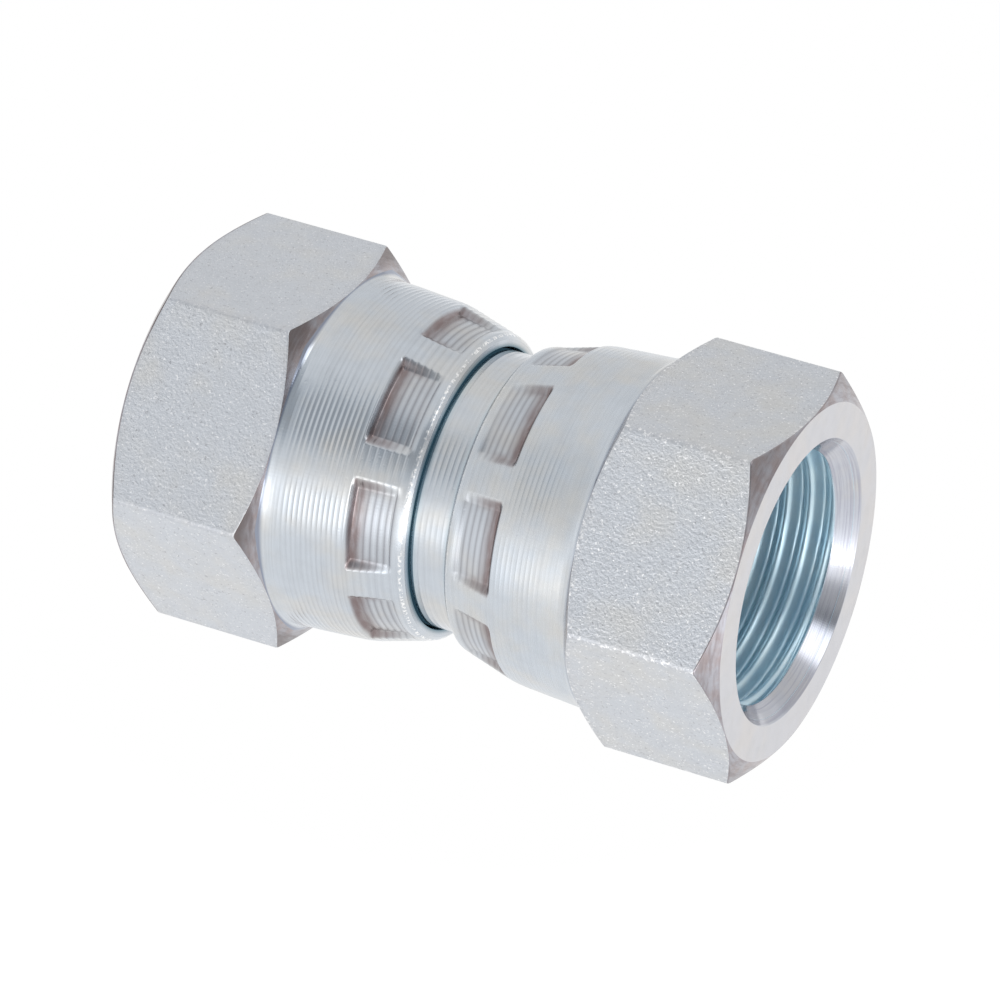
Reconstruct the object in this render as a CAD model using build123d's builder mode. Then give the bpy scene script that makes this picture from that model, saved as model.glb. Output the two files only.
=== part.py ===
"""Swivel adapter: a turned connector tube that carries a crimped swivel nut at each end.

Lengths are in millimetres. The pipe axis runs along X, the nuts lie flat down and +Z is up.
The origin is on the surface that the flats lie on, under the middle of the neck.
"""
from build123d import *
import math
import os

os.makedirs("parts", exist_ok=True)

# Connector tube: neck, retaining heads and cone noses
head_step = 0.9            # the heads stand this far above the neck
head_length = 2.2
nose_inset = 1.58          # the noses start this far inside the thread
nose_length = 3.6          # from the head to the cone's tip
seat_angle = 60.0          # full angle of the sealing cone
tip_wall = 0.819           # metal round the bore at the tip, which leaves a 12 mm bore

# Running fits between the nut and the connector
neck_clearance = 0.45
head_clearance = 0.3
end_play = 0.15

# Nut: hexagon at the mouth, tapered skirt towards the neck
tail_gap = 3.2             # bare neck between the two nuts
nut_length = 23.15
hex_wall = 3.0225          # metal between the thread and a flat, 27 mm across flats
hex_length = 12.35
hex_edge = 0.3             # rounding of the hexagon's long edges
bevel_angle = 30.0         # corner bevels, measured from the end face
root_step = 0.15           # the skirt starts this far under the flats
skirt_fall = 0.45          # and falls this much to the knee
root_bevel = 0.5           # eases the corner there, along both its faces
knee_from_tail = 4.6       # the taper steepens here
cavity_wall = 1.1
tail_wall = 0.7
tail_bevel = 0.5           # along the tail edge, taking tail_bevel_depth off its face
tail_bevel_depth = 0.55
lip_length = 4.9

# Threaded mouth: parallel pipe thread, bored to its major diameter, with a relief behind it
thread_radius = 10.4775
thread_setback = 0.3       # the thread starts this far in front of the cone's tip
relief_depth = 0.4
mouth_flare = 0.35
mouth_angle = 39.0         # the mouth cone, measured from the axis

# Crimp: straight jaws pressed into the taper, one floor and one end wall each
jaw_count = 8
jaw_reach = 4.3            # from the tail to the end wall
jaw_width = 6.2            # at the floor's radius
jaw_draft = 53.0           # of its sides, from the way the jaw moves
jaw_foot = 0.2             # bevel where the end wall meets the floor
floor_wall = 0.9           # metal left over the lip
left_jaw_turn = 36.8
right_jaw_turn = 31.3

# Radii that follow from them: the hexagon from the thread, the skirt from the hexagon,
# and what the skirt holds from the skirt
hex_flats = 2 * (thread_radius + hex_wall)
axis_height = hex_flats / 2
corner_radius = hex_flats / math.sqrt(3)
root_radius = hex_flats / 2 - root_step
knee_radius = root_radius - skirt_fall
cavity_radius = knee_radius - cavity_wall
head_radius = cavity_radius - head_clearance
neck_radius = head_radius - head_step
lip_radius = neck_radius + neck_clearance
tail_radius = lip_radius + tail_wall
floor_radius = lip_radius + floor_wall
mouth_radius = thread_radius + mouth_flare
relief_radius = thread_radius + relief_depth
nose_radius = thread_radius - nose_inset
tip_radius = nose_radius - nose_length * math.tan(math.radians(seat_angle / 2))
bore_radius = tip_radius - tip_wall

# Stations along the axis, X measured outwards from the middle
tail_x = tail_gap / 2
mouth_x = tail_x + nut_length
shoulder_x = tail_x + lip_length
head_back_x = shoulder_x - neck_clearance + end_play
head_full_x = head_back_x + head_radius - neck_radius
head_front_x = head_full_x + head_length
cavity_x = head_front_x + end_play
tip_x = head_front_x + nose_length
thread_x = tip_x + thread_setback
hex_x = mouth_x - hex_length

bevel_slope = math.tan(math.radians(bevel_angle))
bevel_run = (corner_radius - hex_flats / 2) * bevel_slope
mouth_depth = mouth_flare / math.tan(math.radians(mouth_angle))

pipe_axis = Axis((0, 0, axis_height), (1, 0, 0))


def along(side):
    """Plane through the pipe axis: its x runs outwards on that side, its y is the radius."""
    return Plane(origin=(0, 0, axis_height), x_dir=(side, 0, 0), z_dir=(0, -side, 0))


def across(x):
    """Plane square to the pipe axis: angles run from straight up towards the front."""
    return Plane(origin=(x, 0, axis_height), x_dir=(0, 0, 1), z_dir=(1, 0, 0))


# Connector: half of its section is drawn, mirrored and turned about the axis
with BuildPart() as connector_tube:
    with BuildSketch(along(1)):
        with BuildLine():
            Polyline(
                (0, bore_radius),
                (tip_x, bore_radius),
                (tip_x, tip_radius),
                (head_front_x, nose_radius),
                (head_front_x, head_radius),
                (head_full_x, head_radius),
                (head_back_x, neck_radius),
                (0, neck_radius),
                close=True,
            )
        make_face()
        mirror(about=Plane.YZ)
    revolve(axis=pipe_axis)


def swivel_nut(side, jaw_turn):
    """One nut: turned blank, hexagon milled on it, crimp jaws pressed into its tail."""
    with BuildPart() as nut:
        # Turned blank with the stepped bore, both bevels and the hollow behind the hexagon
        with BuildSketch(along(side)) as blank:
            with BuildLine():
                Polyline(
                    (tail_x, lip_radius),
                    (tail_x, tail_radius - tail_bevel_depth),
                    (tail_x + tail_bevel, tail_radius),
                    (tail_x + knee_from_tail, knee_radius),
                    (hex_x - root_step * bevel_slope, root_radius),
                    (hex_x + bevel_run, corner_radius),
                    (mouth_x - bevel_run, corner_radius),
                    (mouth_x, hex_flats / 2),
                    (mouth_x, mouth_radius),
                    (mouth_x - mouth_depth, thread_radius),
                    (thread_x, thread_radius),
                    (thread_x, relief_radius),
                    (cavity_x, relief_radius),
                    (cavity_x, cavity_radius),
                    (shoulder_x + cavity_radius - lip_radius, cavity_radius),
                    (shoulder_x, lip_radius),
                    close=True,
                )
            make_face()
            root_corner = blank.vertices().sort_by_distance((hex_x, root_radius))[0]
            chamfer(root_corner, length=root_bevel)
        revolve(axis=pipe_axis)

        # Hexagon with two flats level, so that the nut lies on one
        with BuildSketch(across(side * tail_x)) as flats:
            RegularPolygon(hex_flats / 2, 6, major_radius=False, rotation=30)
            fillet(flats.vertices(), radius=hex_edge)
        extrude(amount=side * nut_length, mode=Mode.INTERSECT)

        # Crimp jaws: drafted sides, and a floor at one radius that runs out down the taper
        side_slope = math.tan(math.radians(jaw_draft))
        inner_half = jaw_width / 2 - (floor_radius - lip_radius) * side_slope
        outer_half = jaw_width / 2 + (corner_radius - floor_radius) * side_slope
        with BuildSketch(across(side * tail_x)):
            with PolarLocations(0, jaw_count, start_angle=jaw_turn):
                Polygon(
                    (lip_radius, -inner_half),
                    (corner_radius, -outer_half),
                    (corner_radius, outer_half),
                    (lip_radius, inner_half),
                    align=None,
                )
            Circle(floor_radius, mode=Mode.SUBTRACT)
        extrude(amount=side * jaw_reach, mode=Mode.SUBTRACT)
        wall_x = side * (tail_x + jaw_reach)
        wall_edges = [
            edge
            for edge in nut.edges().filter_by(GeomType.CIRCLE)
            if abs(edge.radius - floor_radius) < 1e-3 and abs(edge.arc_center.X - wall_x) < 1e-3
        ]
        chamfer(wall_edges, length=jaw_foot)
    return nut


with BuildPart() as left_nut:
    add(swivel_nut(-1, left_jaw_turn).part)

with BuildPart() as right_nut:
    add(swivel_nut(1, right_jaw_turn).part)

connector_tube.part.label = "connector_tube"
left_nut.part.label = "left_swivel_nut"
right_nut.part.label = "right_swivel_nut"

export_step(connector_tube.part, "parts/connector_tube.step")
export_step(left_nut.part, "parts/left_swivel_nut.step")
export_step(right_nut.part, "parts/right_swivel_nut.step")
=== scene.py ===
# %% [markdown]
# # A swivel adapter, dressed in Blender
# The adapter is three pieces of zinc-plated steel. A connector tube runs through the middle,
# and a swivel nut turns on each end of it, held there by its crimped tail. The solids come
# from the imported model, so every piece here is built in the place that they give.

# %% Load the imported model
import bmesh
import bpy
import math
from mathutils import Matrix, Vector


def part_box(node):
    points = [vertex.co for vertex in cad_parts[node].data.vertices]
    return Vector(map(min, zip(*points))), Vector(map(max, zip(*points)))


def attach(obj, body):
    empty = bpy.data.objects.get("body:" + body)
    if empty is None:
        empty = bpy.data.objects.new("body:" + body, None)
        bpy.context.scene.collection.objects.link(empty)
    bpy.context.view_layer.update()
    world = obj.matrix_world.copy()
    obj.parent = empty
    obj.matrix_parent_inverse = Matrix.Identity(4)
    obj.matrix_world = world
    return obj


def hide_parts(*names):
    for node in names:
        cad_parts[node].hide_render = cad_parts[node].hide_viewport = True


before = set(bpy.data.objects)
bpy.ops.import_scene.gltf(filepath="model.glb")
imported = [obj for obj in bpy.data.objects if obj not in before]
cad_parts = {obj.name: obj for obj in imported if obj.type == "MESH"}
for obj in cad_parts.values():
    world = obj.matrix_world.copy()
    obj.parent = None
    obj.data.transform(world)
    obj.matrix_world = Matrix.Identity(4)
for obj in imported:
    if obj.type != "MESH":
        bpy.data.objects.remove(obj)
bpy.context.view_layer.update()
MM = 0.001
NUTS = {1: "right_swivel_nut", -1: "left_swivel_nut"}
BODIES = {1: "right_nut", -1: "left_nut"}

# %% [markdown]
# ## Stations and radii
# A turned piece is easiest to describe by its section: how far out each corner lies along
# the pipe axis, and its radius there. The nut's ends, the flats and the axis are read from
# the model. The rest are the sizes of its section, so the new surfaces lie on the solids.
# Three places differ by a few tenths of a millimetre, as the real piece looks there: the
# tail's edge and lip are closed tighter, the crimp windows are shallower, and the corners
# of the hexagon and its root are rounded more.

# %% Sizes of the nut
nut_low, nut_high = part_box(NUTS[1])
axis_height = (nut_low.z + nut_high.z) / 2
tail_x = nut_low.x
mouth_x = nut_high.x
flat_radius = (nut_high.z - nut_low.z) / 2
corner_radius = flat_radius / math.cos(math.radians(30))
corner_rounding = 0.5 * MM

bevel_slope = math.tan(math.radians(30))
bevel_run = (corner_radius - flat_radius) * bevel_slope
hex_x = mouth_x - 12.35 * MM
root_radius = flat_radius - 0.15 * MM
knee_radius = root_radius - 0.45 * MM
knee_x = tail_x + 4.6 * MM
cavity_radius = knee_radius - 1.1 * MM
neck_radius = cavity_radius - 1.2 * MM
lip_radius = neck_radius + 0.45 * MM
tail_radius = lip_radius + 0.7 * MM
shoulder_x = tail_x + 4.9 * MM

thread_radius = 10.4775 * MM
thread_pitch = 1.814 * MM
thread_depth = 0.92 * MM
mouth_slope = math.tan(math.radians(39))
mouth_flare = 0.35 * MM
print("nut in mm: from", round(tail_x / MM, 3), "to", round(mouth_x / MM, 3))
print("across its flats:", round(2 * flat_radius / MM, 3))

# %% Sizes of the connector
tube_low, tube_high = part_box("connector_tube")
tip_x = tube_high.x
head_radius = (tube_high.z - tube_low.z) / 2
head_front_x = tip_x - 3.6 * MM
head_full_x = head_front_x - 2.2 * MM
head_back_x = head_full_x - (head_radius - neck_radius)
cavity_x = head_front_x + 0.15 * MM
nose_radius = thread_radius - 1.58 * MM
tip_radius = nose_radius - 3.6 * MM * math.tan(math.radians(30))
bore_radius = tip_radius - 0.819 * MM
print("connector in mm: to", round(tip_x / MM, 3))
print("its radii: head", round(head_radius / MM, 3), "bore", round(bore_radius / MM, 3))

# %% [markdown]
# ## The crimp
# Eight jaws close on the tail of each nut and press it in behind the connector's head. Each
# leaves a window with two slanted sides and a square end wall, deepest at that wall and
# running out towards the tail. The two nuts were crimped at different turns.

# %% Sizes of the crimp marks
jaw_count = 8
jaw_wall_x = tail_x + 4.3 * MM
jaw_inner = math.radians(13.0)
jaw_outer = math.radians(17.3)
jaw_begin_x = tail_x + 0.6 * MM     # the jaws left no mark nearer the tail
jaw_full_x = tail_x + 1.3 * MM
jaw_deepen_x = tail_x + 0.8 * MM
jaw_depth_tail = 0.22 * MM
jaw_depth_wall = 0.58 * MM
STAIN_SHADE_RUN_OUT = (tail_x + 1.4 * MM, tail_x + 3.0 * MM)
JAW_TURN = {1: 31.3, -1: 36.8}
print(jaw_count, "windows of", round(2 * math.degrees(jaw_outer), 1), "degrees")
print("their end wall is at", round(jaw_wall_x / MM, 3), "mm")

# %% [markdown]
# ## Feed grooves
# The lathe's tool moves on by a fraction of a millimetre each turn, and leaves a fine scallop
# all round. The jaws stretched the metal in the windows, so the grooves are wider apart there.
# The left nut was turned with a sharper tool than the right one, and its grooves are deeper.

# %% Sizes of the grooves
feed = 0.40 * MM
tail_feed = 0.52 * MM
neck_feed = 0.44 * MM
GROOVE_DEPTH = {1: 0.016 * MM, -1: 0.046 * MM}
GROOVE_END = {1: 9.8 * MM, -1: 11.0 * MM}
for side, depth in GROOVE_DEPTH.items():
    print(BODIES[side], "has grooves", round(depth / MM, 3), "mm deep")

# %% [markdown]
# ## One section, written corner by corner
# No edge of a machined and tumbled part is sharp. Each corner of the section below has a
# rounding of its own, and the run that starts there has a finish. The section's points become
# the rings of the mesh. A ring close beside each rounding keeps the shading of the long faces
# next to it flat, and on the flats a second one ends the strip along the edge that takes painted
# glints.

# %% Rows of a section
SKIRT, FLATS, BEVELS, FACE, MOUTH, INSIDE = range(6)


def arc_points(before, here, after, rounding):
    """Points round one corner of the section, from one tangent point to the other."""
    to_before = (before - here).normalized()
    to_after = (after - here).normalized()
    half = to_before.angle(to_after) / 2
    centre = here + (to_before + to_after).normalized() * (rounding / math.sin(half))
    reach = rounding / math.tan(half)
    arms = [here + way * reach - centre for way in (to_before, to_after)]
    first, last = [math.atan2(arm.y, arm.x) for arm in arms]
    sweep = (last - first + math.pi) % math.tau - math.pi
    pieces = max(2, math.ceil(abs(sweep) / math.radians(16)))
    angles = [first + sweep * piece / pieces for piece in range(pieces + 1)]
    return [centre + Vector((math.cos(angle), math.sin(angle))) * rounding for angle in angles]


def rounded_section(corners):
    """Rows (x, radius, finish, ridge, edge) round a closed section with its corners rounded.

    A finish that is a pair belongs to the rounding and to the run behind it."""
    rows = []
    arcs = []
    for number, (x, r, rounding, finish, stations) in enumerate(corners):
        earlier, later = corners[number - 1], corners[(number + 1) % len(corners)]
        before = Vector(earlier[4][-1][:2] if earlier[4] else earlier[:2])
        after = Vector(stations[0][:2] if stations else later[:2])
        arcs.append(arc_points(before, Vector((x, r)), after, rounding))
    for number, (x, r, rounding, finish, stations) in enumerate(corners):
        bend, run = finish if isinstance(finish, tuple) else (finish, finish)
        rows += [(*point, bend, 0.0, 1.0) for point in arcs[number][:-1]]
        rows.append((*arcs[number][-1], run, 0.0, 1.0))
        start, end = arcs[number][-1], arcs[(number + 1) % len(arcs)][0]
        length = (end - start).length
        if stations:
            rows += [(*place[:2], run, place[2], 0.0) for place in stations]
        elif length > 0.5 * MM:
            near = [(0.12, 0.6), (0.45, 0.0)] if run == FLATS else [(0.12, 0.0)]
            supports = [(distance * MM / length, edge_share) for distance, edge_share in near]
            supports += [(1 - share, edge_share) for share, edge_share in reversed(supports)]
            rows += [(*start.lerp(end, share), run, 0.0, edge_share) for share, edge_share in supports]
    return rows


print("a section can have", INSIDE + 1, "finishes")

# %% [markdown]
# The skirt is a taper in two steps with a soft knee between them, and the lathe's feed leaves
# a fine scallop all along it. Its rings are close, and closest at the end wall of the crimp
# windows, where the surface drops within half a millimetre.

# %% Rings of the skirt
bevel_x = tail_x + 0.5 * MM
rim_x = tail_x + 0.25 * MM
root_x = hex_x - 0.15 * MM * bevel_slope
WALL_RINGS = [
    -0.42, -0.34, -0.28, -0.24, -0.21, -0.18, -0.15, -0.12,
    -0.09, -0.06, -0.03, 0, 0.03, 0.06, 0.12, 0.2,
]


def soft_min(first, second, blend):
    """The smaller of two numbers, eased where they are close."""
    near = max(blend - abs(first - second), 0) / blend
    return min(first, second) - near**3 * blend / 6


def ridge(x, pitch):
    """1 on the cusps between two passes of the tool, and 0 at the bottom of each pass."""
    return (2 * ((x / pitch) % 1) - 1) ** 2


def skirt_radius(x):
    """The two tapers of the skirt, with the knee between them eased."""
    steep = tail_radius + (x - bevel_x) * (knee_radius - tail_radius) / (knee_x - bevel_x)
    gentle = knee_radius + (x - knee_x) * (root_radius - knee_radius) / (root_x - knee_x)
    return soft_min(steep, gentle, 0.2 * MM)


def skirt_rings():
    """Rings (x, radius, ridge) from the tail bevel to the root of the hexagon."""
    places = [jaw_wall_x + offset * MM for offset in WALL_RINGS]
    before_wall = (tail_feed, rim_x + 0.14 * MM, places[0])
    behind_wall = (feed, places[-1], root_x - 0.7 * MM)
    for pitch, low, high in (before_wall, behind_wall):
        first, last = math.ceil(low / pitch * 4 + 0.4), math.floor(high / pitch * 4 - 0.4)
        places += [number * pitch / 4 for number in range(first, last + 1)]
    rings = []
    for x in sorted(places):
        pitch = tail_feed if x < jaw_wall_x else feed
        fade = min(1.0, (x - rim_x) / (0.4 * MM), (root_x - 0.5 * MM - x) / (0.4 * MM))
        rings.append((x, skirt_radius(x), ridge(x, pitch) * fade))
    return rings


skirt = skirt_rings()
print("the skirt has", len(skirt), "rings")

# %% Section of the nut
thread_x = tip_x + 0.3 * MM
relief_radius = thread_radius + 0.4 * MM
nut_rows = rounded_section([
    (tail_x, neck_radius + 0.22 * MM, 0.04 * MM, SKIRT, []),
    (tail_x, skirt_radius(rim_x) - 0.3 * MM, 0.06 * MM, SKIRT, []),
    (rim_x, skirt_radius(rim_x), 0.12 * MM, SKIRT, skirt),
    (root_x, root_radius, 1.2 * MM, (SKIRT, BEVELS), []),
    (hex_x + bevel_run, corner_radius, 0.15 * MM, FLATS, []),
    (mouth_x - bevel_run, corner_radius, 0.15 * MM, BEVELS, []),
    (mouth_x, flat_radius, 0.15 * MM, FACE, []),
    (mouth_x, thread_radius + mouth_flare, 0.08 * MM, MOUTH, []),
    (mouth_x - mouth_flare / mouth_slope, thread_radius, 0.04 * MM, INSIDE, []),
    (thread_x, thread_radius, 0.03 * MM, INSIDE, []),
    (thread_x, relief_radius, 0.05 * MM, INSIDE, []),
    (cavity_x, relief_radius, 0.03 * MM, INSIDE, []),
    (cavity_x, cavity_radius, 0.1 * MM, INSIDE, []),
    (shoulder_x + cavity_radius - lip_radius, cavity_radius, 0.1 * MM, INSIDE, []),
    (shoulder_x, lip_radius, 0.2 * MM, INSIDE, []),
])
# The root's rounding takes no edge marks where it belongs to the skirt
for number, row in enumerate(nut_rows):
    if row[2] == SKIRT and bevel_x + MM < row[0] and row[1] < flat_radius:
        nut_rows[number] = (*row[:4], 0.0)
print("the nut's section has", len(nut_rows), "rows")

# %% [markdown]
# The connector is turned from one bar. Its section is half drawn and mirrored, as its solid
# is: a bore, two cone noses, two heads with a sloped back, and the neck, which shows between
# the nuts and has the same feed marks as their skirts.

# %% Section of the connector
neck_rings = []
for number in range(-16, 17):
    x = number * neck_feed / 4
    neck_rings.append((x, neck_radius, ridge(x, neck_feed)))

outer_half = [
    (head_back_x, neck_radius, 0.2 * MM, INSIDE, []),
    (head_full_x, head_radius, 0.15 * MM, INSIDE, []),
    (head_front_x, head_radius, 0.15 * MM, INSIDE, []),
    (head_front_x, nose_radius, 0.1 * MM, FACE, []),
    (tip_x, tip_radius, 0.15 * MM, FACE, []),
    (tip_x, bore_radius, 0.15 * MM, INSIDE, []),
]


def mirrored(corners, finishes):
    """The corners of the other half, with the finishes of the runs that start there."""
    pairs = zip(reversed(corners), finishes)
    return [(-x, r, rounding, finish, []) for (x, r, rounding, _, _), finish in pairs]


tube_corners = mirrored(outer_half, [FACE, FACE, INSIDE, INSIDE, INSIDE, SKIRT]) + outer_half
neck_start = len(outer_half) - 1
tube_corners[neck_start] = (*tube_corners[neck_start][:4], neck_rings)
tube_rows = rounded_section(tube_corners)
print("the connector's section has", len(tube_rows), "rows")

# %% [markdown]
# ## Writing node trees as expressions
# Both the shapes and the finishes below are worked out by node trees. Wiring each Math node
# by hand hides the formula, so a small class stands for a number in a tree, and Python's own
# operators on it add the nodes. Any other node comes from one method, which makes its
# settings first and then fills or links its sockets.

# %% A number in a tree, and a tree that makes nodes


class Value:
    """A number in a node tree, with Python's operators."""

    def __init__(self, graph, socket):
        self.graph = graph
        self.socket = socket

    def __add__(self, other):
        return self.graph.math("ADD", self, other)

    def __sub__(self, other):
        return self.graph.math("SUBTRACT", self, other)

    def __mul__(self, other):
        return self.graph.math("MULTIPLY", self, other)

    def __truediv__(self, other):
        return self.graph.math("DIVIDE", self, other)

    def __gt__(self, other):
        return self.graph.math("GREATER_THAN", self, other)

    def __lt__(self, other):
        return self.graph.math("LESS_THAN", self, other)

    def __rsub__(self, other):
        return self.graph.math("SUBTRACT", other, self)

    def __rtruediv__(self, other):
        return self.graph.math("DIVIDE", other, self)

    __radd__ = __add__
    __rmul__ = __mul__


class Graph:
    """A node tree that is filled from Python."""

    def __init__(self, tree):
        self.tree = tree

    def node(self, kind, settings=None, inputs=None):
        """A node with its settings made first, and then its sockets filled or linked."""
        node = self.tree.nodes.new(kind)
        for name, value in (settings or {}).items():
            setattr(node, name, value)
        for name, value in (inputs or {}).items():
            if isinstance(value, Value):
                self.tree.links.new(value.socket, node.inputs[name])
            else:
                node.inputs[name].default_value = value
        return node

    def value(self, kind, settings=None, inputs=None, output=0):
        return Value(self, self.node(kind, settings, inputs).outputs[output])

    def math(self, operation, *numbers):
        return self.value("ShaderNodeMath", {"operation": operation}, dict(enumerate(numbers)))

    def clamp(self, number):
        return self.value("ShaderNodeClamp", None, {"Value": number})

    def link(self, value, socket):
        self.tree.links.new(value.socket, socket)

    def mix(self, share, first, second):
        """One colour over into another."""
        return self.value("ShaderNodeMix", {"data_type": "RGBA"}, {0: share, 6: first, 7: second}, 2)

    def attribute(self, name):
        """A number that the mesh carries."""
        return self.value("ShaderNodeAttribute", {"attribute_name": name}, None, 2)

    def smooth(self, number, low, high):
        """0 below low, 1 above high, and an S curve between them."""
        settings = {"interpolation_type": "SMOOTHSTEP"}
        inputs = {"Value": number, "From Min": low, "From Max": high}
        return self.value("ShaderNodeMapRange", settings, inputs)


print("node trees can now be written as expressions")

# %% [markdown]
# ## The tree that turns, mills and crimps
# One Geometry Nodes tree makes all three bodies, because the same operations made them. A
# grid stands for the surface: its rows follow the section and its columns go round the axis.
# Each point takes its row's place, and then the tools work on it in turn: the hexagon pulls
# in what stands above the flats, and the jaws push in the tail. Columns crowd together at
# the hexagon's corners and at the jaws' sides, where the surface bends most.

# %% A tree with named inputs


def new_tree(name, inputs):
    """A Geometry Nodes tree with a section coming in, a mesh going out and named sizes."""
    tree = bpy.data.node_groups.new(name, "GeometryNodeTree")
    tree.interface.new_socket("Section", in_out="INPUT", socket_type="NodeSocketGeometry")
    tree.interface.new_socket("Mesh", in_out="OUTPUT", socket_type="NodeSocketGeometry")
    for socket_name, start in inputs.items():
        kind = "NodeSocketInt" if isinstance(start, int) else "NodeSocketFloat"
        socket = tree.interface.new_socket(socket_name, in_out="INPUT", socket_type=kind)
        socket.default_value = start
    graph = Graph(tree)
    group = graph.node("NodeGroupInput")
    return graph, {socket.name: Value(graph, socket) for socket in group.outputs if socket.name}


def section_value(graph, sizes, row, name=None):
    """What the section's point of that row holds: a named number, or else its place."""
    if name:
        field = graph.value("GeometryNodeInputNamedAttribute", {"data_type": "FLOAT"}, {"Name": name})
        kind = "FLOAT"
    else:
        field = graph.value("GeometryNodeInputPosition")
        kind = "FLOAT_VECTOR"
    inputs = {"Geometry": sizes["Section"], "Value": field, "Index": row}
    return graph.value("GeometryNodeSampleIndex", {"data_type": kind}, inputs)


def grid_of_rings(graph, sizes):
    """The grid, the row of the section for each of its points, and the share of a turn."""
    domain = {"component": "MESH"}
    rows = graph.value("GeometryNodeAttributeDomainSize", domain, {"Geometry": sizes["Section"]})
    across = sizes["Columns"] + 1
    grid = graph.value("GeometryNodeMeshGrid", None, {"Vertices X": rows + 1, "Vertices Y": across})
    index = graph.value("GeometryNodeInputIndex")
    line = graph.math("FLOOR", (index + 0.5) / across)
    row = graph.math("MODULO", line, rows)
    return grid, row, (index - line * across) / sizes["Columns"]


print("the grid of rings is ready")

# %% Columns that crowd where the surface bends


def broken_line(graph, number, stops):
    """A broken line through (0, 0), the stops and (1, 1)."""
    line = 0
    start, low = 0, 0
    for end, high in [*stops, (1, 1)]:
        line = graph.clamp((number - start) / (end - start)) * (high - low) + line
        start, low = end, high
    return line


def crowded_angle(graph, turn, count, offset, stops):
    """The angle of a column, and its distance from the middle of its own sector.

    There are count sectors, and the columns of each are spaced by the broken line."""
    sector = turn * count - offset * (count / math.tau)
    middle = graph.math("ROUND", sector)
    off = sector - middle
    away = broken_line(graph, graph.math("ABSOLUTE", off) * 2, stops) * (math.pi / count)
    return offset + middle * (math.tau / count) + away * graph.math("SIGN", off), away


print("columns can be crowded in each sector of the turn")

# %% [markdown]
# Where the hexagon's flats cut the turned blank, its bevels leave curved creases. Rather than
# cutting the mesh there, the tree slides each row: a point that stood between the flats'
# radius and the corners' keeps its share of the height that is left at its angle, and moves
# along the bevel with it. The creases then run exactly along rows, at every angle.

# %% Hexagon and jaws as formulas


def mill_hexagon(graph, sizes, x, radius, away):
    """Pulls what stands above the flats down to a hexagon with rounded corners."""
    flat, corner, rounding = sizes["Flat Radius"], sizes["Corner Radius"], sizes["Corner Rounding"]
    height = corner - flat
    centre = (flat - rounding) / math.cos(math.radians(30))
    beside = math.radians(30) - away
    chord = centre * graph.math("SINE", beside)
    bulge = graph.math("SQRT", rounding * rounding - chord * chord)
    arc = centre * graph.math("COSINE", beside) + bulge
    on_arc = away > graph.math("ARCTAN2", (flat - rounding) * math.tan(math.radians(30)), flat)
    plane = flat / graph.math("COSINE", away)
    left = (plane + on_arc * (arc - plane) - flat) / height
    share = graph.math("MAXIMUM", (radius - flat) / height, 0)
    run = height * sizes["Bevel Slope"]
    back = sizes["Hexagon Start"] + share * run
    front = sizes["Mouth"] - share * run
    along = (x - back) / (front - back)
    new_back = sizes["Hexagon Start"] + share * left * run
    new_front = sizes["Mouth"] - share * left * run
    new_x = new_back + along * (new_front - new_back)
    return x + (share > 0) * (new_x - x), graph.math("MINIMUM", radius, flat) + share * left * height


def press_jaws(graph, sizes, x, away):
    """Share of the jaws' depth that reaches a point, and its share of stain and painted shade.

    A window has slanted sides and a steep end wall, and runs out towards the tail."""
    inner, outer = sizes["Jaw Inner"], sizes["Jaw Outer"]
    floor = 1 - graph.smooth(away, inner, outer)
    ahead = sizes["Jaw Wall"] - x
    closed = graph.smooth(ahead, -0.08 * MM, 0.36 * MM)
    begun = graph.smooth(x, jaw_begin_x, jaw_full_x)
    inside = 1 - graph.smooth(away, outer - 0.03, outer)
    # Stain and painted shade: darker along the window's sides and on its floor next to the end wall, as
    # in a recess
    beside = graph.smooth(away, inner - 0.035, inner + 0.03) * inside
    past_wall = graph.smooth(ahead, 0.0, 0.2 * MM)
    behind = (1 - graph.smooth(ahead, 0.3 * MM, 1.6 * MM)) * past_wall
    side_stain_and_shade = beside * past_wall * graph.smooth(x, *STAIN_SHADE_RUN_OUT) * 0.7
    return floor * closed * begun, graph.math("MAXIMUM", side_stain_and_shade, behind * inside)


print("the hexagon and the jaws are formulas")

# %% Sizes of the tree
body_sizes = {
    "Columns": 480,
    "Side": 1.0,
    "Axis Height": axis_height,
    "Flat Radius": flat_radius,
    "Corner Radius": corner_radius,
    "Corner Rounding": corner_rounding,
    "Bevel Slope": bevel_slope,
    "Hexagon Start": hex_x,
    "Mouth": mouth_x,
    "Jaw Turn": 0.0,
    "Jaw Inner": jaw_inner,
    "Jaw Outer": jaw_outer,
    "Jaw Wall": jaw_wall_x,
    "Jaw Press": 1.0,
    "Lip Radius": lip_radius,
    "Groove Depth": 0.02 * MM,
    "Groove End": 11.0 * MM,
}
HEX_STOPS = [(0.25, 0.4), (0.5, 0.7), (0.75, 0.9), (0.925, 0.982)]
JAW_STOPS = [(0.34, 0.56), (0.80, 0.785)]
print("the tree has", len(body_sizes), "named sizes")

# %% Placing the points and finishing the mesh


def round_the_axis(graph, sizes, x, radius, angle):
    """The point at that station, radius and angle from straight up towards the front."""
    up = sizes["Axis Height"] + radius * graph.math("COSINE", angle)
    place = {"X": x * sizes["Side"], "Y": 0 - radius * graph.math("SINE", angle), "Z": up}
    return graph.value("ShaderNodeCombineXYZ", None, place)


def store_number(graph, mesh, name, number, domain="POINT"):
    """The mesh with that number kept on it as an attribute."""
    settings = {"data_type": "FLOAT", "domain": domain}
    inputs = {"Geometry": mesh, "Name": name, "Value": number}
    return graph.value("GeometryNodeStoreNamedAttribute", settings, inputs)


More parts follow.
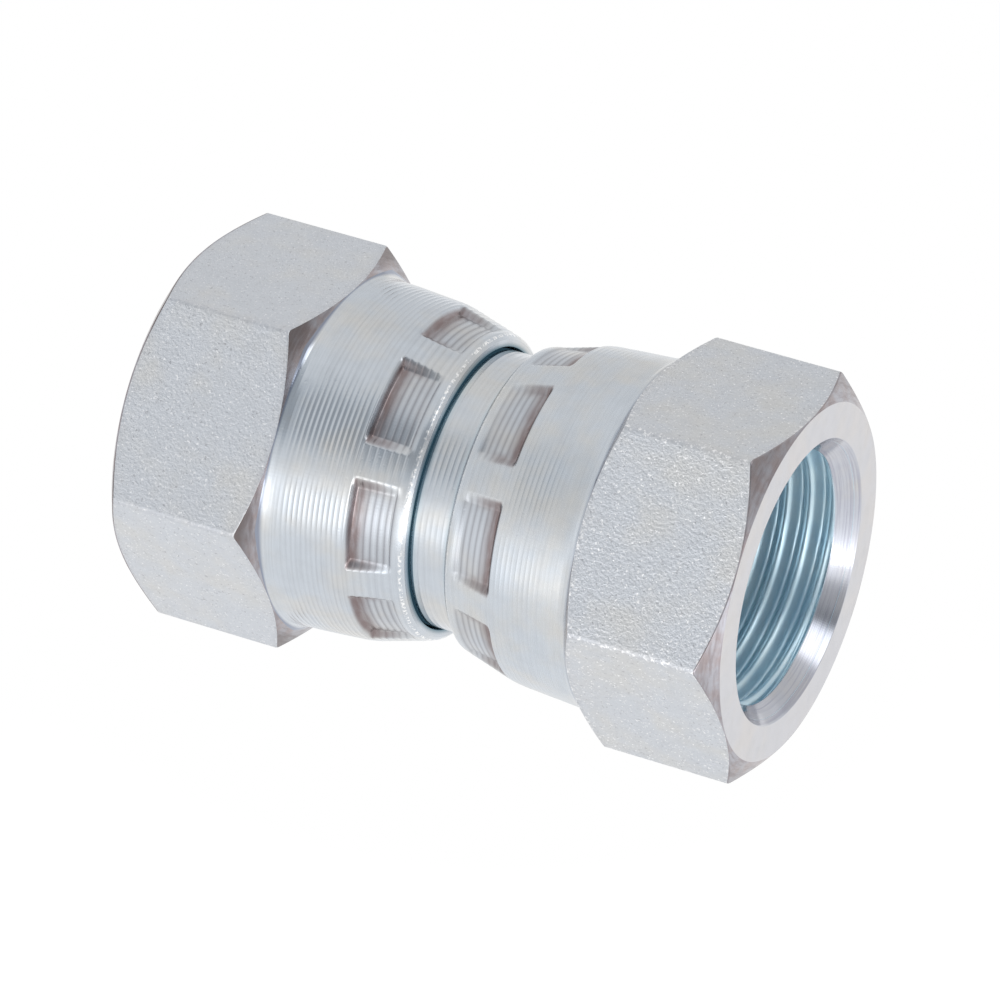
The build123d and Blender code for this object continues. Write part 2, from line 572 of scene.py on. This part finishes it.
def finish_mesh(graph, sizes, mesh, finishes):
    """Closes the seams, shades the creases sharp, and gives each row's faces their material."""
    row = graph.math("FLOOR", (graph.value("GeometryNodeInputIndex") + 0.5) / sizes["Columns"])
    finish = section_value(graph, sizes, row, "finish")
    mesh = store_number(graph, mesh, "finish", finish, "FACE")
    mesh = graph.value("GeometryNodeMergeByDistance", None, {"Geometry": mesh, "Distance": 0.0006 * MM})
    crease = graph.value("GeometryNodeInputMeshEdgeAngle") < math.radians(30)
    inputs = {"Geometry": mesh, "Shade Smooth": crease}
    mesh = graph.value("GeometryNodeSetShadeSmooth", {"domain": "EDGE"}, inputs)
    mesh = graph.value("GeometryNodeRealizeInstances", None, {"Geometry": mesh})
    stored = graph.value("GeometryNodeInputNamedAttribute", {"data_type": "FLOAT"}, {"Name": "finish"})
    for number, material in finishes.items():
        chosen = graph.math("COMPARE", stored, number, 0.1)
        inputs = {"Geometry": mesh, "Selection": chosen, "Material": material}
        mesh = graph.value("GeometryNodeSetMaterial", None, inputs)
    graph.node("NodeGroupOutput", None, {"Mesh": mesh})


print("points can be placed and a mesh finished")

# %% The whole tree


def body_tree(finishes):
    """Rings of the section, turned, milled and crimped."""
    graph, sizes = new_tree("turned body", body_sizes)
    grid, row, turn = grid_of_rings(graph, sizes)
    place = graph.node("ShaderNodeSeparateXYZ", None, {0: section_value(graph, sizes, row)})
    x, radius = Value(graph, place.outputs["X"]), Value(graph, place.outputs["Y"])

    hex_angle, hex_away = crowded_angle(graph, turn, 6, 0, HEX_STOPS)
    jaw_angle, jaw_away = crowded_angle(graph, turn, jaw_count, sizes["Jaw Turn"], JAW_STOPS)
    past_jaws = graph.smooth(x - sizes["Jaw Wall"], 0.6 * MM, 2.5 * MM)
    angle = jaw_angle + past_jaws * (hex_angle - jaw_angle)

    # The second number is stain and painted shade in the windows
    pressed, stained_and_shaded = press_jaws(graph, sizes, x, jaw_away)
    outside = (radius > sizes["Lip Radius"] + 0.35 * MM) * sizes["Jaw Press"]
    pressed = pressed * outside
    stained_and_shaded = stained_and_shaded * outside
    deeper = graph.clamp((x - jaw_deepen_x) / (jaw_wall_x - jaw_deepen_x))
    depth = deeper * (jaw_depth_wall - jaw_depth_tail) + jaw_depth_tail
    groove_end = sizes["Groove End"]
    faded = graph.smooth(x, groove_end - 1.0 * MM, groove_end + 0.6 * MM) * 0.85
    cusps = section_value(graph, sizes, row, "ridge") * (1 - faded)
    grooves = sizes["Groove Depth"] * (1 - pressed * 0.7) + pressed * (0.010 * MM)
    radius = radius + cusps * grooves - pressed * depth
    above_flats = radius > sizes["Flat Radius"] + MM
    corner = graph.smooth(hex_away, math.radians(28.6), math.radians(29.7)) * above_flats
    x, radius = mill_hexagon(graph, sizes, x, radius, hex_away)
    edge = graph.math("MAXIMUM", section_value(graph, sizes, row, "edge"), corner)

    mesh = grid
    numbers = {"pressed": pressed, "stained_and_shaded": stained_and_shaded, "ridge": cusps, "edge": edge}
    for name, number in numbers.items():
        mesh = store_number(graph, mesh, name, number)
    position = round_the_axis(graph, sizes, x, radius, angle)
    mesh = graph.value("GeometryNodeSetPosition", None, {"Geometry": mesh, "Position": position})
    finish_mesh(graph, sizes, mesh, finishes)
    return graph.tree


print("a nut has about", body_sizes["Columns"] * len(nut_rows) * 2, "triangles")

# %% [markdown]
# ## Turning a section into a mesh
# The section goes into the modifier as a loose row of points, each with its numbers as
# attributes. The evaluated result is turned into a plain mesh and the modifier is removed, so
# that the piece is finished geometry. Its normals are worked out again, because the left
# nut is a mirror image.

# %% Run a tree on a section


def section_object(name, rows):
    """A mesh of loose points that carries the section's rows."""
    mesh = bpy.data.meshes.new(name)
    mesh.from_pydata([(row[0], row[1], 0) for row in rows], [], [])
    for column, attribute in ((2, "finish"), (3, "ridge"), (4, "edge")):
        layer = mesh.attributes.new(attribute, "FLOAT", "POINT")
        layer.data.foreach_set("value", [float(row[column]) for row in rows])
    piece = bpy.data.objects.new(name, mesh)
    bpy.context.scene.collection.objects.link(piece)
    return piece


def make_piece(name, tree, rows, sizes, body):
    """A finished mesh of the tree run on those rows, riding on that body."""
    piece = section_object(name, rows)
    modifier = piece.modifiers.new("tree", "NODES")
    modifier.node_group = tree
    sockets = {s.name: s.identifier for s in tree.interface.items_tree if s.in_out == "INPUT"}
    for size, value in sizes.items():
        modifier[sockets[size]] = value
    evaluated = piece.evaluated_get(bpy.context.evaluated_depsgraph_get())
    mesh = bpy.data.meshes.new_from_object(evaluated)
    piece.modifiers.remove(modifier)
    piece.data = mesh
    mesh.name = name
    shape = bmesh.new()
    shape.from_mesh(mesh)
    bmesh.ops.dissolve_degenerate(shape, dist=0.0005 * MM, edges=shape.edges)
    bmesh.ops.recalc_face_normals(shape, faces=shape.faces)
    shape.to_mesh(mesh)
    open_edges = sum(1 for edge in shape.edges if len(edge.link_faces) != 2)
    shape.free()
    mesh.calc_loop_triangles()
    print(name, len(mesh.loop_triangles), "triangles,", open_edges, "open edges,",
          len(mesh.materials), "materials")
    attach(piece, body)
    return piece


print("a section can be made into a piece")

# %% [markdown]
# ## Zinc plating
# Every finish here is the same bright zinc over steel, so one function starts them all: a
# metal with a pale blue-grey colour, mottled by soft patches that are a little warmer or
# cooler. What differs is what the tool left under the plating. That is relief a hundredth of
# a millimetre deep, so it is made as bump, on top of the grooves that the mesh has.

# %% Start of every finish
COOL = (0.605, 0.650, 0.705, 1)
WARM = (0.655, 0.655, 0.645, 1)


def new_material(name, roughness):
    """A metal with its graph and its shader, and nothing else yet."""
    material = bpy.data.materials.new(name)
    material.use_nodes = True
    material.node_tree.nodes.clear()
    graph = Graph(material.node_tree)
    shader = graph.node("ShaderNodeBsdfPrincipled", None, {"Metallic": 1.0, "Roughness": roughness})
    output = graph.node("ShaderNodeOutputMaterial")
    material.node_tree.links.new(shader.outputs[0], output.inputs[0])
    return material, graph, shader


def noise(graph, size, detail=2.0, stretch=(1, 1, 1), shift=0.0):
    """Noise from 0 to 1 whose features are about that size in millimetres, stretched by axis."""
    place = graph.value("ShaderNodeTexCoord", output=3)
    scale = tuple(1 / (size * MM * part) for part in stretch)
    inputs = {"Vector": place, "Location": (shift, shift, shift), "Scale": scale}
    place = graph.value("ShaderNodeMapping", None, inputs)
    inputs = {"Vector": place, "Scale": 1.0, "Detail": detail, "Roughness": 0.6}
    return graph.value("ShaderNodeTexNoise", None, inputs)


def plated_colour(graph, cool=COOL, warm=WARM, dark=0.0):
    """Plating colour in soft patches, and darker by that share in the thin places."""
    patches = graph.smooth(noise(graph, 5.0, 3.0), 0.38, 0.72)
    colour = graph.mix(patches, cool, warm)
    thin = graph.smooth(noise(graph, 1.3, 4.0, shift=7.0), 0.35, 0.8) * (0.10 + dark)
    return graph.mix(thin, colour, (0.25, 0.26, 0.28, 1))


def add_bump(graph, shader, height, depth):
    """Relief of that depth in millimetres on top of the mesh."""
    inputs = {"Height": height, "Distance": depth * MM, "Strength": 1.0}
    graph.link(graph.value("ShaderNodeBump", None, inputs), shader.inputs["Normal"])


print("plating colours:", COOL[:3], WARM[:3])

# %% Places on the object


def object_place(graph):
    """The three Object coordinates."""
    coordinates = graph.value("ShaderNodeTexCoord", output=3)
    place = graph.node("ShaderNodeSeparateXYZ", None, {0: coordinates})
    return [Value(graph, place.outputs[axis]) for axis in "XYZ"]


def along_axis(graph):
    """Place along the pipe axis."""
    return object_place(graph)[0]


def from_axis(graph):
    """Distance from the pipe axis."""
    y, z = object_place(graph)[1:]
    height = z - axis_height
    return graph.math("SQRT", y * y + height * height)


print("the finishes measure from an axis", round(axis_height / MM, 3), "mm up")

# %% [markdown]
# The skirts and the neck are turned: each cusp between two passes of the tool gets a thin line of
# painted shade. The pressed windows kept the lines but were smeared by the jaws, and near their
# walls they are brownish and darker, partly a stain in the plating and partly painted shade. The
# gap between the neck and a tail is painted dark teal shade, and the neck beside it takes a painted
# teal shade too, with a faint painted glow so that the gap doesn't turn black. Painted glints
# sparkle on the tails' rims. The tree stored how far a point was pressed, how much it is stained
# and shaded, and how near it is to a cusp and to an edge, as attributes of the mesh.

# %% Turned finish


def turned_finish():
    material, graph, shader = new_material("turned_zinc", 0.24)
    x = along_axis(graph)
    outwards = graph.math("ABSOLUTE", x)
    left_nut, right_nut = x < -tail_x, x > tail_x
    pressed, stained_and_shaded = graph.attribute("pressed"), graph.attribute("stained_and_shaded")
    cusps, edge = graph.attribute("ridge"), graph.attribute("edge")

    # Lines round the axis, painted shade on the cusps, stain and painted shade in the windows, and the
    # root of the hexagon
    lines = noise(graph, 0.09, 2.0, (1, 60, 60))
    thin_lines = graph.smooth(lines, 0.4, 0.75) * 0.14
    colour = graph.mix(thin_lines, plated_colour(graph), (0.33, 0.35, 0.38, 1))
    # Painted shade: a thin darker line on each cusp of the feed grooves, strongest in the pressed
    # windows
    cusp_shade = cusps * (left_nut * 0.06 + pressed * 0.42 + 0.06)
    colour = graph.mix(cusp_shade, colour, (0.15, 0.15, 0.17, 1))
    smear = graph.smooth(noise(graph, 0.5, 3.0, (1, 4, 4)), 0.3, 0.7) * 0.35 + 0.6
    # Stain and painted shade in the windows: brownish near the walls, and a little darker over the
    # whole floor
    stain_and_shade = graph.clamp(stained_and_shaded * smear + pressed * 0.12)
    colour = graph.mix(stain_and_shade, colour, (0.235, 0.185, 0.185, 1))
    # Painted reflection: the root's fillet is darkened to a blue, more on the left nut; it is also made
    # smoother
    root = edge * (outwards > 8 * MM)
    colour = graph.mix(root * (left_nut * 0.45 + 0.3), colour, (0.20, 0.23, 0.32, 1))

    # Painted teal shade on the neck beside the gap and in the gap itself, and painted glints on the
    # tail's rim
    shade_beside_gap = graph.smooth(outwards, 0.95 * MM, 1.4 * MM) * (outwards < tail_x)
    colour = graph.mix(shade_beside_gap * 0.3, colour, (0.34, 0.52, 0.60, 1))
    reach = from_axis(graph)
    shade = 1 - graph.smooth(reach, neck_radius + 0.15 * MM, neck_radius + 0.66 * MM)
    shade = shade * (outwards > tail_x - 0.02 * MM) * (outwards < rim_x + 0.2 * MM)
    colour = graph.mix(shade * 0.95, colour, (0.05, 0.12, 0.15, 1))
    # Painted glints in white on the tail's rim, stronger on the left nut
    on_rim = (outwards > tail_x + 0.17 * MM) * (outwards < tail_x + 0.4 * MM)
    edge_glints = edge * on_rim * graph.smooth(noise(graph, 0.26, 2.0), 0.48, 0.6)
    colour = graph.mix(edge_glints * (left_nut * 0.7 + 0.3), colour, (0.98, 0.98, 0.98, 1))
    graph.link(colour, shader.inputs["Base Color"])
    # A faint painted glow in the gap's shade, standing in for light bounced into it
    glow = graph.mix(shade, (0, 0, 0, 1), (0.018, 0.042, 0.060, 1))
    graph.link(glow, shader.inputs["Emission Color"])
    shader.inputs["Emission Strength"].default_value = 1.0

    rough = right_nut * 0.08 + pressed * 0.04 + lines * 0.14 + 0.12
    graph.link(rough - root * 0.1, shader.inputs["Roughness"])
    pits = graph.smooth(noise(graph, 0.35, 2.0), 0.62, 0.8)
    add_bump(graph, shader, lines * 0.5 - pits * 0.8, 0.006)
    return material


print("the turned finish is written")

# %% [markdown]
# The flats are forged faces that were tumbled before plating. Their grain is coarse, and painted
# glints sparkle in it and along the edges. The right nut has the coarser grain and more of the
# painted glints.

# %% Grained finish of the flats


def grained_finish():
    material, graph, shader = new_material("grained_zinc", 0.25)
    grain = noise(graph, 0.23, 3.0)
    on_right = along_axis(graph) > 0
    colour = plated_colour(graph, (0.635, 0.662, 0.705, 1), (0.665, 0.670, 0.672, 1), -0.02)
    # Painted glints: white specks in the grain, more on the right nut
    grain_glints = graph.smooth(noise(graph, 0.20, 1.0, shift=3.0), 0.62, 0.74)
    dots = graph.smooth(noise(graph, 0.26, 2.0, shift=5.0), 0.60, 0.74)
    colour = graph.mix(dots * 0.5, colour, (0.28, 0.28, 0.30, 1))
    colour = graph.mix(grain_glints * (on_right * 0.3 + 0.6), colour, (0.98, 0.98, 0.99, 1))
    edge = graph.attribute("edge")
    # Along the edges: a slightly darker tone and painted glints in white, more on the right nut
    edge_glints = edge * graph.smooth(noise(graph, 0.3, 2.0, shift=9.0), 0.53, 0.66)
    edge_glints = edge_glints * (on_right * 0.65 + 0.2)
    colour = graph.mix(edge * 0.14, colour, (0.36, 0.36, 0.40, 1))
    colour = graph.mix(edge_glints, colour, (0.98, 0.98, 0.99, 1))
    graph.link(colour, shader.inputs["Base Color"])
    graph.link(grain * 0.14 + 0.28, shader.inputs["Roughness"])
    add_bump(graph, shader, grain * (on_right * 0.5 + 1), 0.058)
    return material


print("the grained finish is written")

# %% [markdown]
# The corner bevels were turned before the flats were milled. Their darker mauve colour, darkest
# at the hexagon's corners and more so on the left nut, is a painted reflection. The end face is faced
# smooth.

# %% Bevelled and faced finishes


def bevel_finish():
    material, graph, shader = new_material("bevel_zinc", 0.22)
    streaks = noise(graph, 0.16, 3.0, (1, 12, 12))
    smear = graph.smooth(noise(graph, 1.4, 3.0), 0.35, 0.7)
    # Painted reflection: a darker mauve, in patches with a grey
    colour = graph.mix(smear, (0.44, 0.44, 0.48, 1), (0.39, 0.34, 0.345, 1))
    colour = graph.mix(graph.smooth(streaks, 0.4, 0.7) * 0.6, colour, (0.26, 0.22, 0.23, 1))
    uneven = from_axis(graph) + streaks * (0.8 * MM)
    # Painted reflection: the bevel is darkest at the hexagon's corners, more on the left nut
    tip_reflection = graph.smooth(uneven, flat_radius + 0.4 * MM, corner_radius - 0.1 * MM)
    tip_reflection = tip_reflection * ((along_axis(graph) < 0) * 0.5 + 0.25)
    colour = graph.mix(tip_reflection, colour, (0.13, 0.105, 0.10, 1))
    graph.link(colour, shader.inputs["Base Color"])
    graph.link(streaks * 0.2 + 0.12, shader.inputs["Roughness"])
    add_bump(graph, shader, streaks, 0.01)
    return material


def faced_finish():
    material, graph, shader = new_material("faced_zinc", 0.22)
    colour = plated_colour(graph, (0.62, 0.62, 0.65, 1), (0.65, 0.63, 0.63, 1))
    graph.link(colour, shader.inputs["Base Color"])
    add_bump(graph, shader, noise(graph, 0.3, 3.0), 0.006)
    return material


print("the bevelled and faced finishes are written")

# %% [markdown]
# The cone of the mouth is the brightest cut of all. The bore is painted a bright teal, a painted
# reflection of light bounced round inside it. The thread cuts into the cone, so the ends of its
# ridges belong to the cone. The thread's tree stored where that is.

# %% Finishes of the mouth and the bore


def cone_colour(graph, lines):
    """The bright cut of the cone, with darker lines round it."""
    colour = plated_colour(graph, (0.55, 0.57, 0.63, 1), (0.60, 0.59, 0.59, 1))
    return graph.mix(graph.smooth(lines, 0.4, 0.7) * 0.5, colour, (0.34, 0.34, 0.42, 1))


def mouth_finish():
    material, graph, shader = new_material("mouth_zinc", 0.14)
    lines = noise(graph, 0.12, 2.0, (1, 60, 60))
    graph.link(cone_colour(graph, lines), shader.inputs["Base Color"])
    add_bump(graph, shader, lines, 0.004)
    return material


def bored_finish():
    material, graph, shader = new_material("bored_zinc", 0.3)
    lines = noise(graph, 0.1, 2.0, (1, 60, 60))
    patches = graph.smooth(noise(graph, 3.0, 3.0), 0.35, 0.7)
    # Painted reflection: a bright teal for the light bounced round inside the bore
    teal = graph.mix(patches, (0.54, 0.72, 0.82, 1), (0.64, 0.80, 0.87, 1))
    coned = graph.attribute("coned")
    graph.link(graph.mix(coned, teal, cone_colour(graph, lines)), shader.inputs["Base Color"])
    graph.link(coned * 0.3 + 0.7, shader.inputs["Metallic"])
    graph.link(coned * -0.14 + 0.28, shader.inputs["Roughness"])
    add_bump(graph, shader, lines, 0.004)
    return material


turned_zinc = turned_finish()
bored_zinc = bored_finish()
materials = {
    SKIRT: turned_zinc, FLATS: grained_finish(), BEVELS: bevel_finish(),
    FACE: faced_finish(), MOUTH: mouth_finish(), INSIDE: bored_zinc,
}
print("finishes:", [material.name for material in materials.values()])

# %% [markdown]
# ## The bodies
# Both nuts come from one tree and one section. What differs is the side, the turn of the jaws
# and the grooves. The connector has no hexagon and no crimp, so its flats stand far outside
# it and its jaws don't press.

# %% The bodies
nut_tree = body_tree(materials)
for side, node in NUTS.items():
    sizes = {**body_sizes, "Side": float(side), "Jaw Turn": math.radians(JAW_TURN[side])}
    sizes.update({"Groove Depth": GROOVE_DEPTH[side], "Groove End": GROOVE_END[side]})
    make_piece(f"{BODIES[side]}_body", nut_tree, nut_rows, sizes, BODIES[side])
    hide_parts(node)

plain = {**body_sizes, "Columns": 360, "Groove Depth": 0.014 * MM}
plain.update({"Flat Radius": 1.0, "Corner Radius": 2.0, "Jaw Press": 0.0})
tube = make_piece("connector_body", nut_tree, tube_rows, plain, "connector")
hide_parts("connector_tube")

# %% [markdown]
# ## The thread
# Each mouth has a half inch parallel pipe thread. The solids stop at its major diameter, so
# its ridges are a piece of their own, sunk into the bore by a hair. The rows of this tree run
# along the axis, and the radius falls to the crest and rises to the root with a phase that
# turns with the angle. The cone of the mouth cuts the first ridges off, and they fade out
# towards the relief.

# %% Tree of the thread
thread_sizes = {
    "Columns": 360,
    "Side": 1.0,
    "Axis Height": axis_height,
    "Major Radius": thread_radius,
    "Depth": thread_depth,
    "Pitch": thread_pitch,
    "Start Phase": 0.1,
    "Mouth": mouth_x,
    "Mouth Radius": thread_radius + mouth_flare,
    "Mouth Slope": mouth_slope,
}


def thread_tree(finishes):
    """Ridges that wind along the bore, cut off by the cone of the mouth."""
    graph, sizes = new_tree("internal thread", thread_sizes)
    grid, row, turn = grid_of_rings(graph, sizes)
    place = graph.node("ShaderNodeSeparateXYZ", None, {0: section_value(graph, sizes, row)})
    x, radius = Value(graph, place.outputs["X"]), Value(graph, place.outputs["Y"])
    share = section_value(graph, sizes, row, "ridge")
    phase = graph.math("FRACT", x * sizes["Side"] / sizes["Pitch"] - turn + sizes["Start Phase"])
    height = graph.math("COSINE", phase * math.tau) * 0.5 + 0.5
    cone = sizes["Mouth Radius"] - (sizes["Mouth"] - x) * sizes["Mouth Slope"]
    ridged = graph.math("MAXIMUM", radius - share * sizes["Depth"] * height, cone)
    inside = 1 - graph.smooth(x, sizes["Mouth"] - 1.8 * MM, sizes["Mouth"] - 1.45 * MM)
    cut = cone + inside * (ridged - cone)
    radius = radius + (share > 0) * (cut - radius)
    coned = (share > 0) * (1 - graph.smooth(radius - cone, 0, 0.05 * MM))
    position = round_the_axis(graph, sizes, x, radius, turn * math.tau)
    mesh = graph.value("GeometryNodeSetPosition", None, {"Geometry": grid, "Position": position})
    finish_mesh(graph, sizes, store_number(graph, mesh, "coned", coned), finishes)
    return graph.tree


print("thread of", round(thread_pitch / MM, 3), "mm pitch,", round(thread_depth / MM, 3), "mm deep")

# %% Thread pieces
thread_start = thread_x + 0.05 * MM
thread_end = mouth_x - mouth_flare / mouth_slope - 0.01 * MM
fade_length = 0.6 * thread_pitch
sunk = 0.02 * MM
rings_per_turn = 24
ring_count = round((thread_end - thread_start) / thread_pitch * rings_per_turn)
thread_rows = []
for number in range(ring_count + 1):
    x = thread_start + (thread_end - thread_start) * number / ring_count
    fade = min(1.0, (x - thread_start) / fade_length + 0.001)
    thread_rows.append((x, thread_radius - sunk * 0.25, INSIDE, fade, 0.0))
thread_rows.append((thread_end, thread_radius + sunk, INSIDE, 0.0, 0.0))
thread_rows.append((thread_start, thread_radius + sunk, INSIDE, 0.0, 0.0))
ridges = thread_tree({INSIDE: bored_zinc})
for side, body_name in BODIES.items():
    sizes = {**thread_sizes, "Side": float(side)}
    make_piece(f"{body_name}_thread", ridges, thread_rows, sizes, body_name)

# %% [markdown]
# ## Camera
# The camera was solved from the edges of both hexagons in the photograph: a long lens from
# the front right, a little above, and turned slightly about its own axis.

# %% Camera
azimuth, elevation, roll = [math.radians(a) for a in (24.988, 29.714, 3.127)]
camera_distance = 0.550414
aim_right, aim_down = 0.40 * MM, 0.43 * MM
back = Vector((
    math.sin(azimuth) * math.cos(elevation),
    -math.cos(azimuth) * math.cos(elevation),
    math.sin(elevation),
))
level = Vector((math.cos(azimuth), math.sin(azimuth), 0))
over = back.cross(level)
right = level * math.cos(roll) + over * math.sin(roll)
up = over * math.cos(roll) - level * math.sin(roll)
aim = Vector((0, 0, axis_height)) + right * aim_right - up * aim_down
camera_data = bpy.data.cameras.new("camera")
camera_data.sensor_width = 36.0
camera_data.lens = 268.789
camera_data.clip_start = 0.01
camera = bpy.data.objects.new("camera", camera_data)
bpy.context.scene.collection.objects.link(camera)
camera.matrix_world = Matrix((right, up, back)).transposed().to_4x4()
camera.location = aim + back * camera_distance
bpy.context.scene.camera = camera
print("camera at", [round(c, 4) for c in camera.location])

# %% [markdown]
# ## A white room
# The plating is nearly a mirror, so what it shows is the room. This one is white, brightest
# along the horizon in front, with a darker soft patch in the ceiling above that. Its right end
# is dim, with one lamp and a doorway. All are painted on the world by direction, which has no
# edges or noise of its own. The steps of brightness were read off the turned skirts, which
# mirror the room from top to bottom.

# %% Directions in the room
world = bpy.data.worlds.new("white room")
world.use_nodes = True
world.node_tree.nodes.clear()
room = Graph(world.node_tree)
direction = room.value("ShaderNodeTexCoord", output=0)
way = room.node("ShaderNodeSeparateXYZ", None, {0: direction})
way_x, way_y, way_z = [Value(room, way.outputs[axis]) for axis in "XYZ"]


def band(number, low, high, soft):
    """1 between low and high, fading to 0 over the soft width outside them."""
    return room.smooth(number, low - soft, low) * (1 - room.smooth(number, high, high + soft))


def patch(middle, inner, outer):
    """1 within inner of a direction, fading to 0 at outer."""
    settings = {"operation": "DISTANCE"}
    away = room.value("ShaderNodeVectorMath", settings, {0: direction, 1: middle}, 1)
    return 1 - room.smooth(away, inner, outer)


print("the room is painted by direction")

# %% Brightness of the room
front = room.smooth(0 - way_y, 0.0, 0.3)
horizon = (1 - room.smooth(way_z, 0.0, 0.32)) * front * (room.smooth(way_x, -0.8, -0.1) * 0.28 + 0.26)
ceiling = band(way_z, 0.62, 0.82, 0.3) * (1 - room.smooth(way_z, 0.82, 0.97)) * front
ceiling = ceiling * (room.smooth(way_x, -0.45, -0.1) * 0.34 + 0.07)
right_end = room.smooth(way_x, 0.6, 0.8) * band(way_y, -0.6, -0.2, 0.15)
right_end = right_end * band(way_z, 0.2, 0.5, 0.1) * 0.33
back_right = band(way_x, 0.35, 0.7, 0.1) * room.smooth(way_y, 0.2, 0.4)
back_right = back_right * band(way_z, 0.4, 0.75, 0.1) * 0.1
lamp = patch((0.76, 0, 0.64), 0.14, 0.28) * 1.2
doorway = patch((0.90, 0.42, 0.14), 0.18, 0.45) * 0.22
behind = room.smooth(way_y, 0.3, 0.6) * 0.05
brightness = 0.88 + horizon - ceiling - right_end - back_right + lamp - doorway - behind
tint = room.mix(room.clamp(ceiling * 3), (1, 1, 1, 1), (0.90, 0.95, 1, 1))
colour = room.value("ShaderNodeVectorMath", {"operation": "SCALE"}, {0: tint, "Scale": brightness})
light = room.node("ShaderNodeBackground", None, {"Color": colour, "Strength": 1.0})
sky = room.node("ShaderNodeOutputWorld")
world.node_tree.links.new(light.outputs[0], sky.inputs[0])
bpy.context.scene.world = world
bpy.context.scene.view_settings.view_transform = "Standard"
print("the room has", len(world.node_tree.nodes), "nodes")

# %% [markdown]
# The floor is plain and as white as the photograph's background, so it glows and takes no
# shadow. It is brighter than white further out in front, where a big soft light would stand.
# The camera sees plain white there, and the turned skirts mirror the light as a bright band.

# %% Floor
floor_mesh = bpy.data.meshes.new("floor")
floor_half = 3.0
floor_corners = [(x * floor_half, y * floor_half, 0) for x, y in ((-1, -1), (1, -1), (1, 1), (-1, 1))]
floor_mesh.from_pydata(floor_corners, [], [(0, 1, 2, 3)])
floor = bpy.data.objects.new("floor", floor_mesh)
bpy.context.scene.collection.objects.link(floor)
white = bpy.data.materials.new("white_floor")
white.use_nodes = True
white.node_tree.nodes.clear()
ground = Graph(white.node_tree)
spot = ground.node("ShaderNodeSeparateXYZ", None, {0: ground.value("ShaderNodeTexCoord", output=3)})
spot_x, spot_y = Value(ground, spot.outputs["X"]), Value(ground, spot.outputs["Y"])
far = ground.math("SQRT", spot_x * spot_x + spot_y * spot_y) + 0.001
facing = ground.math("MAXIMUM", (spot_x * 0.62 - spot_y * 0.78) / far, 0)
lobe = ground.math("MAXIMUM", (spot_x * 0.80 - spot_y * 0.60) / far, 0)
lights = facing * facing * 1.25 + ground.smooth(lobe, 0.93, 0.99)
bright = ground.smooth(far, 0.030, 0.075) * lights + 1
glow = ground.node("ShaderNodeEmission", None, {"Color": bright, "Strength": 1.0})
white_output = ground.node("ShaderNodeOutputMaterial")
ground.tree.links.new(glow.outputs[0], white_output.inputs[0])
floor_mesh.materials.append(white)
print("the floor is", 2 * floor_half, "m wide")
